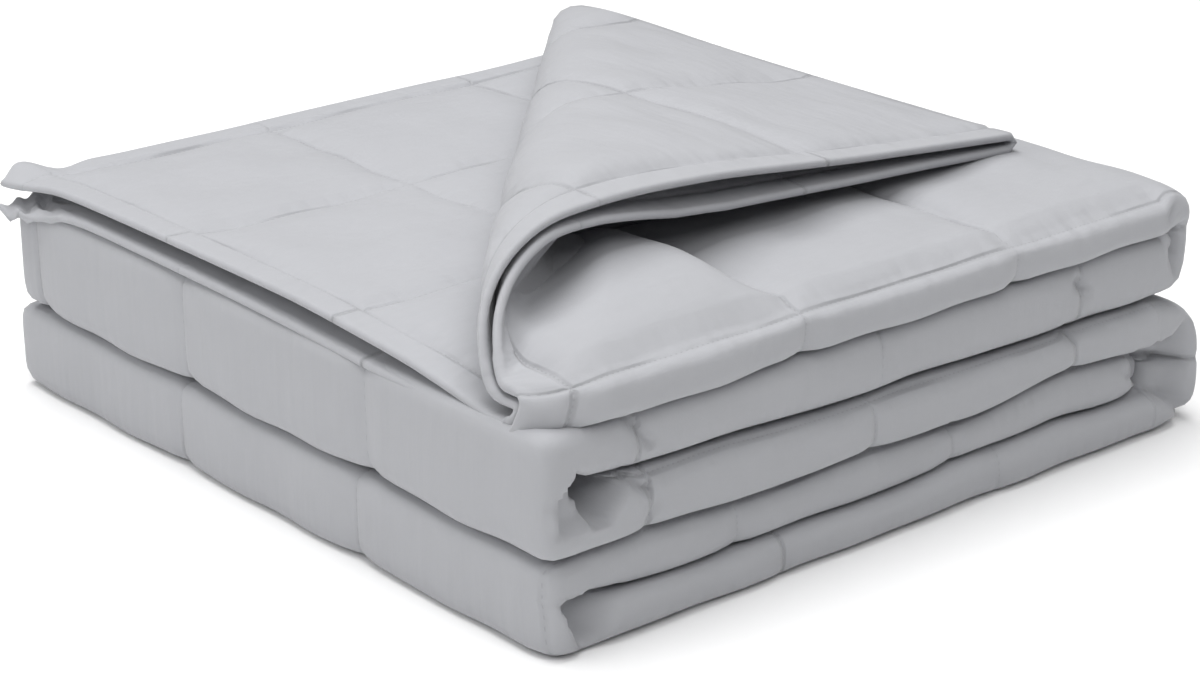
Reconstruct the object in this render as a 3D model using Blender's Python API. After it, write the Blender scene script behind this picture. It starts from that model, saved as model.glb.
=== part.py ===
"""A quilted weighted blanket, folded to a strip of four plies, stacked back and forth in five
sections, with the corner of its top two plies peeled back over a soft roll.

X runs along the side that shows the strip's folded edge, Y away from that side, Z up. The blanket
is one sheet. A point of it is given by how far it lies along the strip (the path, in X and Z) and
across the cloth (the profile, in the strip's own depth and Y).
"""

import math
from collections import namedtuple

import bmesh
import bpy
from mathutils import Vector

# Driving dimensions, in metres.
CUT_WIDTH = 1.50  # the blanket spread flat, across the strip's four plies
CUT_LENGTH = 1.83  # the blanket spread flat, along the strip
SQUARES_ACROSS = 12
SQUARES_ALONG = 15
HEM = 0.012
PLY_PITCH = 0.00585  # from the middle of one ply to the middle of the next
PLY_THICKNESS = 0.0048
SEAM_DEPTH = 0.0018  # how far a seam sinks into a face that shows
PUFF = 0.0026  # how far a square rises out of a face that shows
HEM_BUMP = 0.3  # the hem's share of that rise
SQUARE_FULLNESS = 3  # 2 is a parabola from seam to seam, more is flatter in the middle
TURN_SQUARENESS = 2.8  # of a bend or fold: 2 is round, more is squarer
SECTION_PITCH = 4 * PLY_PITCH
LEFT_BEND = 0.0215  # where the left-hand bends begin
RIGHT_BEND = 0.351  # where the upper right-hand bend begins
LOW_RIGHT_BEND = 0.340  # where the wide lower right-hand bend begins
FRONT_FOLD = 0.0105  # the centre of the folds along the front
FREE_END = 0.004

# The five sections from the peeled end on: the level of each, counted from the floor, where its
# straight run starts and ends, and how far its folded edge is drawn in at the front.
Section = namedtuple("Section", "name level start end drawn_in")
SECTIONS = (
    Section("top", 5, FREE_END, RIGHT_BEND, 0.0),
    Section("fourth", 4, RIGHT_BEND, LEFT_BEND, 0.0035),
    Section("third", 3, LEFT_BEND, LOW_RIGHT_BEND, 0.0015),
    Section("bottom", 1, LOW_RIGHT_BEND, LEFT_BEND, 0.0),
    Section("inner", 2, LEFT_BEND, LOW_RIGHT_BEND - 0.003, 0.0050),
)
DRAWN_DEPTH = 0.060  # how far from the front a section is drawn in

# The four plies in the order in which the cloth runs through them: the depth of each in the strip,
# in plies above its middle, whether it runs to the back or the front, and how far its free end at
# the peeled corner stands out to the left.
Ply = namedtuple("Ply", "name depth heading end_out")
PLIES = (
    Ply("lower flat", -0.5, -1, 0.003),
    Ply("peeled under", 0.5, 1, 0.001),
    Ply("peeled outer", 1.5, -1, 0.001),
    Ply("lowest flat", -1.5, 1, 0.006),
)
END_DEPTH = 0.070  # how far from the free end the plies are shifted against each other
CORNER_EAR = 0.009  # how far the blanket's own corners poke out of the top section
EAR_WIDTH = 0.035

# The peeled corner: where its crease starts on the left edge, the crease's angle from X, the radius
# of the roll at that edge and how much slimmer it is per metre along the crease, and how far beyond
# the roll the flap comes down to rest.
PEEL_START = 0.020
PEEL_ANGLE = math.radians(47.0)
ROLL_RADIUS = 0.0200
ROLL_TAPER = 0.016
REST_RUN = 0.185
REST_CLEARANCE = 0.0060
PRESSED = 0.008  # how far beyond the crease the plies are still pressed flat
SWELL_RUN = 0.040  # and over what run they swell up from there

# How finely the sheet is divided.
FINE_STEPS = (0.0, 0.10, 0.24, 0.38, 0.50, 0.62, 0.76, 0.90)  # in a square of the peeled corner
COARSE_STEPS = (0.0, 0.12, 0.32, 0.68, 0.88)  # in any other square
BEND_STEPS = 6
TIGHT_FOLD_STEPS = 4
OUTER_FOLD_STEPS = 6
NEAREST = 0.0028  # stations closer than this are one
SHARP_FROM = math.radians(50)
FLAT_ENOUGH = math.radians(0.3)  # faces that meet at less than this are joined

COLOUR = (0.57, 0.575, 0.59)
ROUGHNESS = 0.85

# A run, bend or fold of the sheet's middle: place gives its middle and normal at a share of its
# length. A station is one such place, along is how far it lies over the cloth.
Piece = namedtuple("Piece", "name length place steps")
Station = namedtuple("Station", "along middle normal where share")


def smooth(value):
    value = min(max(value, 0.0), 1.0)
    return value * value * (3 - 2 * value)


def turn_direction(share):
    """From a turn's centre, out and sideways, at a share of its way round: a squarish half circle."""
    angle = math.pi * share
    out, sideways = math.sin(angle), math.cos(angle)
    size = (abs(out) ** TURN_SQUARENESS + abs(sideways) ** TURN_SQUARENESS) ** (-1 / TURN_SQUARENESS)
    return out * size, sideways * size


def path_pieces():
    """The strip's runs and bends, as (x, z), from the peeled end on."""
    pieces = []
    for index, section in enumerate(SECTIONS):
        heading = math.copysign(1.0, section.end - section.start)
        height = (section.level - 0.5) * SECTION_PITCH

        def run(share, section=section, heading=heading, height=height):
            return (section.start + (section.end - section.start) * share, height), (0.0, heading)

        pieces.append(Piece(section.name, abs(section.end - section.start), run, 0))
        if index + 1 == len(SECTIONS):
            break
        drop = (section.level - SECTIONS[index + 1].level) * SECTION_PITCH / 2
        centre = (section.end, height - drop)

        def bend(share, centre=centre, drop=drop, heading=heading):
            out, sideways = turn_direction(share)
            middle = (centre[0] + heading * abs(drop) * out, centre[1] + drop * sideways)
            return middle, (math.copysign(out, drop), heading * sideways)

        pieces.append(Piece(section.name + " bend", math.pi * abs(drop), bend, BEND_STEPS))
    return pieces


def profile_pieces():
    """The plies and folds across the strip, as (depth, y), in the order in which the cloth runs.

    The cloth's middle is the middle of the back fold. The front's outer fold takes more cloth than
    its inner fold, so the lowest ply ends short of the back.
    """
    folds = [math.pi * abs(a.depth - b.depth) * PLY_PITCH / 2 for a, b in zip(PLIES, PLIES[1:])]
    run_length = (CUT_WIDTH / 2 - folds[0] - folds[1] / 2) / 2
    last_length = CUT_WIDTH - 3 * run_length - sum(folds)
    front, back = FRONT_FOLD, FRONT_FOLD + run_length
    pieces = []
    for index, ply in enumerate(PLIES):
        start, end = (front, back) if ply.heading > 0 else (back, front)
        if index + 1 == len(PLIES):
            end = start + last_length
        depth = ply.depth * PLY_PITCH

        def run(share, start=start, end=end, depth=depth, heading=ply.heading):
            return (depth, start + (end - start) * share), (heading, 0.0)

        pieces.append(Piece(ply.name, abs(end - start), run, 0))
        if index + 1 == len(PLIES):
            break
        rise = (PLIES[index + 1].depth - ply.depth) * PLY_PITCH / 2

        def fold(share, end=end, depth=depth, rise=rise, heading=ply.heading):
            out, sideways = turn_direction(share)
            middle = (depth + rise * (1 - sideways), end + heading * abs(rise) * out)
            return middle, (heading * sideways, -math.copysign(out, rise))

        steps = TIGHT_FOLD_STEPS if rise > 0 else OUTER_FOLD_STEPS
        pieces.append(Piece(ply.name + " fold", math.pi * abs(rise), fold, steps))
    return pieces


def merged(values):
    """Sorted values, less those that come too close after another."""
    kept = []
    for value in sorted(values):
        if not kept or value - kept[-1] > NEAREST:
            kept.append(value)
    return kept


def stations(pieces, cut, squares, fine_until):
    """The places along the pieces where the sheet has points: at its seams and between them."""
    scale = sum(piece.length for piece in pieces) / cut
    side = (cut - 2 * HEM) / squares
    wanted = {HEM / 2, cut - HEM, cut - HEM / 2}
    for square in range(squares):
        start = HEM + square * side
        shares = FINE_STEPS if start * scale < fine_until else COARSE_STEPS
        wanted.update(start + share * side for share in shares)
    found = []
    begun = 0.0
    for piece in pieces:
        if piece.steps:
            inner = [piece.length * step / piece.steps for step in range(1, piece.steps)]
        else:
            inner = [value * scale - begun for value in wanted if 0 < value * scale - begun < piece.length]
        first = [] if found else [0.0]
        for reached in merged(first + inner + [piece.length]):
            share = reached / piece.length
            found.append(Station((begun + reached) / scale, *piece.place(share), piece.name, share))
        begun += piece.length
    return found


def square_bump(along, cut, squares):
    """0 on a seam, 1 in the middle of a square, and the hem's own share outside the squares."""
    side = (cut - 2 * HEM) / squares
    inside = along - HEM
    if inside <= 0 or inside >= squares * side:
        return HEM_BUMP
    share = (inside / side) % 1.0
    return 1 - abs(2 * share - 1) ** SQUARE_FULLNESS


def crease_distance(x, y):
    """How far a point of the flat top section lies beyond the peel's crease."""
    return (y - PEEL_START) * math.cos(PEEL_ANGLE) - x * math.sin(PEEL_ANGLE)


def peeled(x, y, lift):
    """Where a point of the two peeled plies goes: lift is its height over their common middle."""
    beyond = crease_distance(x, y)
    if beyond <= 0:
        return Vector((x, y, lift))
    along = x * math.cos(PEEL_ANGLE) + (y - PEEL_START) * math.sin(PEEL_ANGLE)
    radius = ROLL_RADIUS - ROLL_TAPER * along
    rest = 2 * PLY_PITCH + REST_CLEARANCE
    top = 2 * radius
    if beyond < math.pi * radius:
        angle = beyond / radius
        across, height = radius * math.sin(angle), radius * (1 - math.cos(angle))
    else:
        run = beyond - math.pi * radius
        turn = math.pi * min(run / REST_RUN, 1.0)
        height = rest + (top - rest) * (1 + math.cos(turn)) / 2
        across = -run
        angle = math.pi + math.atan((top - rest) * math.pi / (2 * REST_RUN) * math.sin(turn))
    across -= lift * math.sin(angle)
    height += lift * math.cos(angle)
    return Vector((
        along * math.cos(PEEL_ANGLE) - across * math.sin(PEEL_ANGLE),
        PEEL_START + along * math.sin(PEEL_ANGLE) + across * math.cos(PEEL_ANGLE),
        height,
    ))


def between(rows, column, station, turn):
    """A column of the row that a station lies on, or a blend of two rows where it is on a turn."""
    names = [row.name for row in rows]
    if station.where in names:
        return getattr(rows[names.index(station.where)], column)
    first = names.index(station.where.removesuffix(turn))
    start, end = getattr(rows[first], column), getattr(rows[first + 1], column)
    return start + (end - start) * smooth(station.share)


def end_shift(across):
    """How far the free end of the top section stands out to the left, by the place on the cloth."""
    nearest_corner = min(across.along, CUT_WIDTH - across.along)
    ear = CORNER_EAR * math.exp(-((nearest_corner / EAR_WIDTH) ** 2))
    return between(PLIES, "end_out", across, " fold") + ear


def swelling(station):
    """0 where a turn leaves the plies that it joins, 1 in its middle third."""
    return smooth(min(station.share, 1 - station.share) / (1 / 3))


def shown(along, across, x, y):
    """How much of the quilting's relief the outer face has: 1 where it shows, 0 where it is pressed."""
    if along.where == "top":
        if across.where == "peeled outer":
            return 1.0
        if across.where in ("peeled under", "lower flat"):
            return smooth((crease_distance(x, y) - PRESSED) / SWELL_RUN)
    upper_outside = along.where in ("top", "top bend", "third bend", "bottom bend")
    outside_ply = "peeled outer" if upper_outside else "lowest flat"
    bend_share = swelling(along) if along.where.endswith(" bend") else 0.0
    if along.where == "top" or (along.where == "top bend" and along.share < 0.5):
        bend_share = 1.0
    if across.where == outside_ply:
        return bend_share
    if across.where == "peeled outer fold":
        beside_outside = (across.share < 0.5) == upper_outside
        return max(swelling(across), bend_share if beside_outside else 0.0)
    if across.where == "peeled under fold":
        return swelling(across)
    return 0.0


def sheet_point(along, across, face):
    """A point of the sheet: face is 1 on the side folded inwards and -1 on the side that shows."""
    x_flat, y_flat = along.middle[0], across.middle[1]
    thickness = PLY_THICKNESS / 2
    if face < 0:
        bump = square_bump(along.along, CUT_LENGTH, SQUARES_ALONG)
        bump *= square_bump(across.along, CUT_WIDTH, SQUARES_ACROSS)
        relief = (SEAM_DEPTH + PUFF) * bump - SEAM_DEPTH
        thickness += relief * shown(along, across, x_flat, y_flat)
    depth = across.middle[0] + face * thickness * across.normal[0]
    y = across.middle[1] + face * thickness * across.normal[1]
    x = along.middle[0] + depth * along.normal[0]
    z = along.middle[1] + depth * along.normal[1]
    drawn_in = between(SECTIONS, "drawn_in", along, " bend")
    y += drawn_in * (1 - smooth((y_flat - FRONT_FOLD) / DRAWN_DEPTH))
    if along.where == "top":
        x -= end_shift(across) * (1 - smooth((along.middle[0] - FREE_END) / END_DEPTH))
    if along.where == "top" and across.where in ("peeled under", "peeled under fold", "peeled outer"):
        pair_middle = along.middle[1] + PLY_PITCH
        point = peeled(x, y, z - pair_middle)
        return Vector((point.x, point.y, point.z + pair_middle))
    return Vector((x, y, z))


def add_cell(bm, corners, slant):
    """Two triangles, parted along the diagonal that runs with the peel's crease."""
    a, b, c, d = corners
    for triangle in ((a, b, c), (a, c, d)) if slant else ((a, b, d), (b, c, d)):
        bm.faces.new(triangle)


def add_face_of_sheet(bm, grid, profile):
    """One of the sheet's two faces, over its grid of points."""
    for near, far in zip(grid, grid[1:]):
        for j in range(len(profile) - 1):
            towards_back = profile[j + 1].middle[1] > profile[j].middle[1]
            add_cell(bm, (near[j], far[j], far[j + 1], near[j + 1]), towards_back)


def add_edge_of_sheet(bm, inner, outer):
    """The sheet's edge, between a line of points of one face and the same line of the other."""
    for j in range(len(inner) - 1):
        bm.faces.new((inner[j], inner[j + 1], outer[j + 1], outer[j]))


def grid_of_points(bm, path, profile, face):
    return [[bm.verts.new(sheet_point(along, across, face)) for across in profile] for along in path]


def build_mesh():
    path = stations(path_pieces(), CUT_LENGTH, SQUARES_ALONG, SECTIONS[0].end)
    *down_to_peeled, _, _ = profile_pieces()
    peeled_until = sum(piece.length for piece in down_to_peeled)
    profile = stations(profile_pieces(), CUT_WIDTH, SQUARES_ACROSS, peeled_until)
    bm = bmesh.new()
    inner = grid_of_points(bm, path, profile, 1)
    outer = grid_of_points(bm, path, profile, -1)
    for grid in (inner, outer):
        add_face_of_sheet(bm, grid, profile)
    for end in (0, -1):
        add_edge_of_sheet(bm, inner[end], outer[end])
        add_edge_of_sheet(bm, [row[end] for row in inner], [row[end] for row in outer])
    bmesh.ops.recalc_face_normals(bm, faces=bm.faces)
    bmesh.ops.dissolve_limit(bm, angle_limit=FLAT_ENOUGH, verts=bm.verts, edges=bm.edges)
    bmesh.ops.triangulate(bm, faces=bm.faces)
    return bm


def centre_on_floor(bm):
    """Moves the blanket so that the origin is under its middle, on the surface that it rests on."""
    low = [min(vert.co[axis] for vert in bm.verts) for axis in range(3)]
    high = [max(vert.co[axis] for vert in bm.verts) for axis in range(3)]
    shift = Vector((-(low[0] + high[0]) / 2, -(low[1] + high[1]) / 2, -low[2]))
    bmesh.ops.translate(bm, verts=bm.verts, vec=shift)


def cloth_material():
    material = bpy.data.materials.new("brushed_cloth")
    material.use_nodes = True
    surface = material.node_tree.nodes["Principled BSDF"]
    surface.inputs["Base Color"].default_value = (*COLOUR, 1.0)
    surface.inputs["Roughness"].default_value = ROUGHNESS
    surface.inputs["Metallic"].default_value = 0.0
    material.diffuse_color = (*COLOUR, 1.0)
    return material


def main():
    for obj in list(bpy.data.objects):
        bpy.data.objects.remove(obj, do_unlink=True)
    bm = build_mesh()
    centre_on_floor(bm)
    mesh = bpy.data.meshes.new("blanket")
    bm.to_mesh(mesh)
    bm.free()
    mesh.materials.append(cloth_material())
    mesh.shade_smooth()
    mesh.set_sharp_from_angle(angle=SHARP_FROM)
    blanket = bpy.data.objects.new("blanket", mesh)
    bpy.context.scene.collection.objects.link(blanket)


main()
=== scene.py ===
"""A light-grey quilted weighted blanket, folded into a stack, with the corner of its top plies peeled
back over a soft roll. It stands for the CAD model's one node.

The blanket is one sheet. A point of it is given by how far it lies along the strip and across the
cloth, in metres on the cloth spread flat. The strip's path (in X and Z) and its profile (in the strip's
own depth and Y) fold that sheet up as the CAD model does; hems, seams and the uneven lie of the plies
are then worked into it. Shapes are worked out in the fold's own axes: X from the left bends' side
towards the right bends, Y from the front folds backwards, Z up. All sizes are in metres.
"""

import math
from collections import namedtuple

import bpy
import numpy as np
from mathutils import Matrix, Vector


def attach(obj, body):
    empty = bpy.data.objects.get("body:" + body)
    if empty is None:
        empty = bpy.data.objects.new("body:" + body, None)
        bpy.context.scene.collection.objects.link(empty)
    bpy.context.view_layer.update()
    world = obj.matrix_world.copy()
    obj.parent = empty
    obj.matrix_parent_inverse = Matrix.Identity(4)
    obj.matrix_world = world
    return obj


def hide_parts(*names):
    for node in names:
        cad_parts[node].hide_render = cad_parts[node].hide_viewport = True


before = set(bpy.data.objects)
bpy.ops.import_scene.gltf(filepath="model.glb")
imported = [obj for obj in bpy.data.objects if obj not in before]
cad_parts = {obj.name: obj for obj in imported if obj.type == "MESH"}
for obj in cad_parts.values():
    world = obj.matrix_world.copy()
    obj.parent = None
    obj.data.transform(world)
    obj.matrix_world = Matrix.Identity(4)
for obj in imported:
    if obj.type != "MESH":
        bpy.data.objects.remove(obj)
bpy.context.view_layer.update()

# The cloth and its fold, as in the CAD model.
CUT_WIDTH = 1.50
CUT_LENGTH = 1.83
HEM = 0.0145
PLY_PITCH = 0.00585
PLY_THICKNESS = 0.0048
FOLD_SQUARENESS = 3.4
SECTION_PITCH = 4 * PLY_PITCH
LEFT_BEND = 0.0230
RIGHT_BEND = 0.346
LOW_RIGHT_BEND = 0.3462
FRONT_FOLD = 0.0105
BACK_FOLD = 0.3786
LOWEST_PLY_BACK = 0.3765
FREE_END = 0.004
SETTLED = 0.98  # the stack's height against that of its even plies
FOLDED_ORIGIN = (0.18244, 0.19058, 0.00053)  # where the CAD model's origin is in the fold's own axes

# The strip's sections from the peeled end on: their level in the stack, where they start and end in X,
# how far their front edge is drawn back, and how square the bend after each is above and below (2 is
# round).
Section = namedtuple("Section", "name level start end drawn_in upper_squareness lower_squareness")
SECTIONS = (
    Section("top", 5, FREE_END, RIGHT_BEND, 0.0, 3.0, 6.0),
    Section("fourth", 4, RIGHT_BEND, LEFT_BEND - 0.0010, 0.0035, 8.0, 6.0),
    Section("third", 3, LEFT_BEND - 0.0010, LOW_RIGHT_BEND, 0.0015, 2.5, 3.3),
    Section("bottom", 1, LOW_RIGHT_BEND, LEFT_BEND, 0.0, 8.0, 6.0),
    Section("inner", 2, LEFT_BEND, LOW_RIGHT_BEND + 0.0040, 0.0040, 4.6, 4.6),
)
DRAWN_DEPTH = 0.060  # how far behind the front edge the drawing back fades
PRESSED_IN = 0.029  # the wide bend's inner plies are pressed in towards its start, within this reach

# The strip's plies from one long hem to the other: their depth in pitches from the section's middle,
# their heading in Y, and how far each reaches out at the free end, fading over the end's depth.
Ply = namedtuple("Ply", "name depth heading end_out")
PLIES = (
    Ply("lower flat", -0.5, -1, 0.003),
    Ply("peeled under", 0.5, 1, 0.001),
    Ply("peeled outer", 1.5, -1, 0.001),
    Ply("lowest flat", -1.5, 1, 0.0048),
)
END_DEPTH = 0.070

# Where the quilting's seams cross the strip and run along it: X or Y on a run, the share of a turn.
Seam = namedtuple("Seam", "piece place")
SEAMS_ALONG = (
    Seam("top", 0.130), Seam("top", 0.252), Seam("top bend", 0.5),
    Seam("fourth", 0.297), Seam("fourth", 0.176), Seam("fourth", 0.047),
    Seam("third", 0.051), Seam("third", 0.171), Seam("third", 0.293), Seam("third bend", 0.5),
    Seam("bottom", 0.246), Seam("bottom", 0.120), Seam("inner", 0.098), Seam("inner", 0.220),
)
SEAMS_ACROSS = (
    Seam("lower flat", 0.254), Seam("lower flat", 0.135), Seam("lower flat", 0.0125),
    Seam("peeled under", 0.133), Seam("peeled under", 0.260), Seam("peeled under fold", 0.5),
    Seam("peeled outer", 0.249), Seam("peeled outer", 0.123), Seam("peeled outer fold", 0.18),
    Seam("lowest flat", 0.114), Seam("lowest flat", 0.243),
)

# The peeled corner: where its crease starts on the left edge, the crease's angle from X, and the
# section of the roll at that edge as a heading against X after so much cloth. Along the crease the
# section shrinks by the taper, per metre.
PEEL_START = 0.0147
PEEL_ANGLE = math.radians(47.8)
ROLL_TAPER = 1.355
Heading = namedtuple("Heading", "reached degrees")
ROLL = (
    Heading(0.0, 0.0), Heading(0.012, 52.5), Heading(0.030, 95.7), Heading(0.050, 135.7),
    Heading(0.075, 176.7), Heading(0.12, 186.4), Heading(0.18, 189.1), Heading(0.26, 186.5),
    Heading(0.34, 185.2),
)
ROLL_LENGTH = 0.6
ROLL_SAMPLES = 1801
# How far the outer of the two peeled plies sags under the other, by the place along its hem.
Sag = namedtuple("Sag", "along_hem depth")
SAGS = (
    Sag(0.09, 0.0), Sag(0.12, 0.002), Sag(0.16, 0.0075), Sag(0.19, 0.0085), Sag(0.25, 0.005),
    Sag(0.31, 0.002), Sag(0.37, 0.0),
)
SAG_DEPTH = 0.11
# The square in front of the roll stands up as a mound, up to the seam beside it.
MOUND_RISE = 0.013
MOUND_X = 0.088
MOUND_X_RUN = 0.055
MOUND_Y = 0.075
MOUND_Y_RUN = 0.055
MOUND_FOOT = 0.030  # how far the mound takes to rise from the crease and from the front edge
MOUND_SEAM = 0.137
MOUND_SEAM_RUN = 0.026
# How the top section's free end hangs over the bend below, by Y: the flat ply's end lifts at the back.
Lie = namedtuple("Lie", "y flat others lowest")
LIES = (
    Lie(0.0, -0.0110, -0.0085, -0.0085), Lie(0.031, -0.0110, -0.0088, -0.0088),
    Lie(0.049, -0.0088, -0.0084, -0.0084), Lie(0.067, -0.0060, -0.0078, -0.0078),
    Lie(0.086, -0.0033, -0.0070, -0.0070), Lie(0.105, -0.0017, -0.0060, -0.0062),
    Lie(0.144, 0.0010, -0.0040, -0.0046), Lie(0.165, 0.0020, -0.0030, -0.0036),
    Lie(0.20, 0.0024, -0.0012, -0.0026), Lie(0.25, 0.0026, 0.0, -0.0018),
    Lie(0.30, 0.0026, 0.0006, -0.0014), Lie(0.35, 0.0020, 0.0010, -0.0012),
)
LIE_RUN = 0.030
FLAT_LIE_RUN = 0.055
# The top section's front edge is rounder than the other folds, above the brow's foot.
BROW_DROP = 0.0038
BROW_RUN = 0.032
BROW_FOOT = 0.105
BROW_RISE = 0.012
# Its front left corner is rounded: how far back it lies, over which run, depth and height. It curves
# back by the power of the share of its run, and on past the run's end up to the limit.
CORNER_BACK = 0.021
CORNER_RUN = 0.032
CORNER_POWER = 2.3
CORNER_LIMIT = 1.3
CORNER_DEPTH = 0.055
CORNER_TOP = 0.112
CORNER_RISE = 0.014
# How the free end's corners at the back are pulled out and crumpled: each pull's middle along the
# strip, how far it reaches along and across, and how far it goes. The upper corner is the lower flat
# ply's, and the lower corner is the lowest ply's.
Pull = namedtuple("Pull", "name corner along along_reach across_reach x y z")
PULLS = (
    Pull("tip", "upper", 0.0, 0.018, 0.022, -0.0065, 0.0020, -0.0042),
    Pull("ear", "upper", 0.011, 0.007, 0.012, -0.0010, 0.0060, 0.0048),
    Pull("dip", "upper", 0.024, 0.008, 0.014, 0.0, 0.0, -0.0022),
    Pull("low tip", "lower", 0.0, 0.020, 0.028, -0.0080, 0.0030, -0.0095),
    Pull("rolled up", "lower", 0.004, 0.022, 0.011, 0.0, 0.0, 0.0030),
)
RIPPLE_RISE = 0.0018  # the lower corner's ripples, and how far they reach along and across
RIPPLE_REACH = 0.020
RIPPLE_WIDTH = 0.036
RIPPLE_FOOT = 0.004
RIPPLE_TURNS = (900, 500)  # in radians for each metre along and across

# How much the boundaries between the sections lie off their even heights, by X.
Level = namedtuple("Level", "x first second third fourth fifth")
LEVELS = (
    Level(-0.005, -0.0010, -0.0065, 0.0, 0.0, 0.0),
    Level(0.020, -0.0025, -0.0055, 0.0, 0.0, 0.0),
    Level(0.045, -0.0035, -0.0055, -0.0030, -0.0005, 0.0),
    Level(0.080, -0.0050, -0.0062, -0.0028, -0.0005, 0.0),
    Level(0.115, -0.0040, -0.0080, -0.0045, -0.0009, 0.0),
    Level(0.150, -0.0045, -0.0062, -0.0065, 0.0, 0.0),
    Level(0.190, -0.0052, -0.0067, -0.0054, 0.0004, 0.0),
    Level(0.230, -0.0015, -0.0083, -0.0062, 0.0006, 0.0),
    Level(0.260, -0.0018, -0.0045, -0.0073, -0.0003, 0.0),
    Level(0.285, -0.0010, -0.0013, -0.0073, 0.0006, -0.0004),
    Level(0.310, -0.0030, -0.0024, -0.0066, 0.0025, -0.0008),
    Level(0.340, -0.0030, -0.0055, -0.0070, 0.0024, -0.0010),
    Level(0.375, -0.0030, -0.0055, -0.0070, 0.0020, -0.0010),
)

# Where the front folds lie back from their line: openings and facets beside the bends. Each is a
# convex outline in X and Z, anticlockwise as seen from the front; soft is how gently it begins at the
# edge from that corner to the next.
Corner = namedtuple("Corner", "x z soft")
Recess = namedtuple("Recess", "name depth corners")
RECESSES = (
    Recess("upper left facet", 0.0070, (
        Corner(0.0040, 0.0500, 0.0060), Corner(0.0230, 0.0500, 0.0060), Corner(0.0260, 0.0700, 0.0020),
        Corner(0.0160, 0.0768, 0.0022), Corner(0.0056, 0.0680, 0.0024),
    )),
    Recess("upper left hollow", 0.0360, (
        Corner(0.0195, 0.0535, 0.0026), Corner(0.0300, 0.0510, 0.0110), Corner(0.0440, 0.0655, 0.0024),
        Corner(0.0125, 0.0725, 0.0028), Corner(0.0180, 0.0600, 0.0030),
    )),
    Recess("lower left slot", 0.0150, (
        Corner(0.0150, 0.0020, 0.0050), Corner(0.0300, 0.0020, 0.0200), Corner(0.0400, 0.0235, 0.0020),
        Corner(0.0058, 0.0260, 0.0024), Corner(0.0080, 0.0170, 0.0024),
    )),
    Recess("upper right facet", 0.0180, (
        Corner(0.3375, 0.0960, 0.0024), Corner(0.3590, 0.0795, 0.0024), Corner(0.3640, 0.0690, 0.0140),
        Corner(0.3640, 0.1030, 0.0060), Corner(0.3530, 0.1000, 0.0026),
    )),
    Recess("upper right facet's foot", 0.0180, (
        Corner(0.3500, 0.0880, 0.0024), Corner(0.3615, 0.0700, 0.0024), Corner(0.3640, 0.0690, 0.0140),
        Corner(0.3640, 0.0900, 0.0020),
    )),
    Recess("lower right facet", 0.0110, (
        Corner(0.3335, 0.0290, 0.0022), Corner(0.3660, 0.0073, 0.0022), Corner(0.3740, 0.0040, 0.0150),
        Corner(0.3740, 0.0470, 0.0014), Corner(0.3326, 0.0440, 0.0020), Corner(0.3335, 0.0370, 0.0020),
    )),
    Recess("lower right facet's head", 0.0110, (
        Corner(0.3740, 0.0380, 0.0150), Corner(0.3740, 0.0560, 0.0022), Corner(0.3660, 0.0510, 0.0022),
        Corner(0.3471, 0.0435, 0.0020), Corner(0.3471, 0.0380, 0.0014),
    )),
)
RECESS_FADE = 0.070
# Single creases on the front, from one end to the other.
Crease = namedtuple("Crease", "x z to_x to_z width depth")
CREASES = (
    Crease(0.0376, 0.0700, 0.0520, 0.0570, 0.0020, 0.0050),
    Crease(0.0560, 0.0545, 0.0478, 0.0440, 0.0016, 0.0016),
    Crease(0.0382, 0.0950, 0.0558, 0.0735, 0.0018, 0.0032),
    Crease(0.2914, 0.0879, 0.3019, 0.0781, 0.0018, 0.0040),
    Crease(0.2869, 0.0651, 0.2951, 0.0593, 0.0026, 0.0050),
    Crease(0.2156, 0.0402, 0.2231, 0.0354, 0.0020, 0.0030),
    Crease(0.3250, 0.0400, 0.3320, 0.0310, 0.0014, 0.0020),
    Crease(0.3420, 0.0374, 0.3730, 0.0285, 0.0018, 0.0065),
    Crease(0.3350, 0.0263, 0.3740, 0.0035, 0.0018, 0.0055),
    Crease(0.3440, 0.1020, 0.3550, 0.1130, 0.0014, 0.0022),
    Crease(-0.0012, 0.0540, 0.0030, 0.0690, 0.0014, 0.0018),
    Crease(-0.0020, 0.0250, 0.0060, 0.0250, 0.0014, 0.0012),
)
CREASE_TAPER = 0.2  # the share of its length over which a crease begins and ends

# How finely each run and turn is divided, and the zones of it that have their own step. Zones may
# overlap, and then the stations of both are kept.
PATH_STEPS = {
    "top": 0.0062, "top bend": 0.0024, "fourth": 0.0085, "fourth bend": 0.0015, "third": 0.0085,
    "third bend": 0.0026, "bottom": 0.0095, "bottom bend": 0.0016, "inner": 0.0095,
}
PROFILE_STEPS = {
    "lower flat": 0.0052, "lower flat fold": 0.0020, "peeled under": 0.0052, "peeled under fold": 0.0022,
    "peeled outer": 0.0052, "peeled outer fold": 0.0017, "lowest flat": 0.0080,
}
Zone = namedtuple("Zone", "piece start end step")
PATH_ZONES = (
    Zone("top", 0.0, 0.042, 0.0028), Zone("top", 0.042, 0.120, 0.0042), Zone("top", 0.330, 0.360, 0.0026),
    Zone("fourth", 0.0, 0.030, 0.0014), Zone("fourth", 0.030, 0.060, 0.0024),
    Zone("fourth", 0.060, 0.330, 0.0085), Zone("fourth", 0.286, 0.304, 0.0032),
    Zone("fourth", 0.304, 0.360, 0.0026),
    Zone("third", 0.0, 0.284, 0.0014), Zone("third", 0.030, 0.060, 0.0024),
    Zone("third", 0.060, 0.325, 0.0085), Zone("third", 0.284, 0.298, 0.0032),
    Zone("third", 0.325, 0.350, 0.0026), Zone("third bend", 0.24, 0.40, 0.0022),
    Zone("third bend", 0.40, 0.62, 0.0014), Zone("third bend", 0.62, 0.98, 0.0020),
    Zone("bottom", 0.0, 0.036, 0.0022), Zone("bottom", 0.325, 0.350, 0.0026),
    Zone("inner", 0.320, 0.350, 0.0022),
)
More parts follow.
